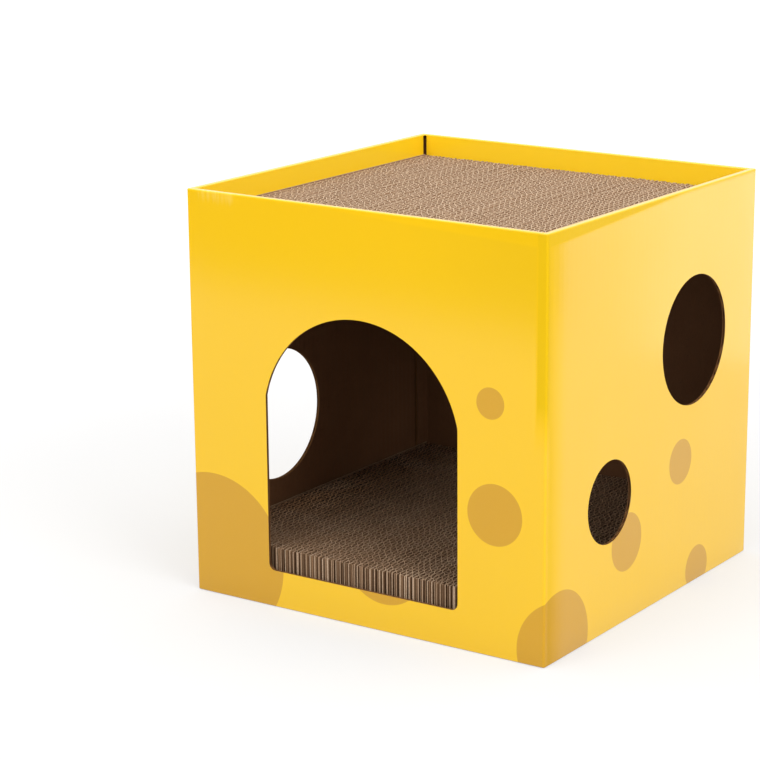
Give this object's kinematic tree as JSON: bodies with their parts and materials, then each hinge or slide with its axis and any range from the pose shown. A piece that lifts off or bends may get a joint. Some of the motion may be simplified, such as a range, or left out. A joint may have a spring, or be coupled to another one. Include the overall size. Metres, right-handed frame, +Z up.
{
  "type": "cat scratcher house",
  "caption": "Cube cat house folded from printed corrugated board, with an arched doorway, round side holes, a scratch pad on its floor and one set into its top.",
  "frame": {"origin": "centre of the underside, on the surface the house stands on", "axes": "+Z up, -Y out of the doorway, +X towards the wall with two holes"},
  "size_m": [0.4, 0.4, 0.4],
  "materials": {
    "printed_board": "glossy film over a yellow print outside, kraft inside",
    "plain_kraft": "matt brown kraft",
    "cut_kraft": "rough, strips on edge with their cut flutes showing"
  },
  "bodies": {
    "carton": {"front_wall": "printed_board", "right_wall": "printed_board", "back_wall": "printed_board", "left_wall": "printed_board", "glue_tab": "printed_board", "front_rim_flap": "printed_board", "right_rim_flap": "printed_board", "back_rim_flap": "printed_board", "left_rim_flap": "printed_board", "front_ledge": "printed_board", "right_ledge": "printed_board", "back_ledge": "printed_board", "left_ledge": "printed_board", "right_floor_flap": "printed_board", "left_floor_flap": "printed_board"},
    "front_floor_flap": {"front_floor_flap": "printed_board"},
    "back_floor_flap": {"back_floor_flap": "printed_board"},
    "bottom_pad": {"bottom_pad": "cut_kraft"},
    "shelf": {"shelf_board": "plain_kraft"},
    "top_pad": {"top_pad": "cut_kraft"}
  },
  "joints": [
    {"name": "shelf_lift", "type": "slide", "parent": "carton", "child": "shelf", "axis": [0, 0, 1], "range_m": [0, 0.12]},
    {"name": "top_pad_lift", "type": "slide", "parent": "shelf", "child": "top_pad", "axis": [0, 0, 1], "range_m": [0, 0.12]},
    {"name": "bottom_pad_lift", "type": "slide", "parent": "carton", "child": "bottom_pad", "axis": [0, 0, 1], "range_m": [0, 0.25]},
    {"name": "front_flap_crease", "type": "hinge", "parent": "carton", "child": "front_floor_flap", "pos_m": [0, -0.197, 0], "axis": [-1, 0, 0], "range_deg": [0, 90]},
    {"name": "back_flap_crease", "type": "hinge", "parent": "carton", "child": "back_floor_flap", "pos_m": [0, 0.197, 0], "axis": [1, 0, 0], "range_deg": [0, 90]}
  ]
}
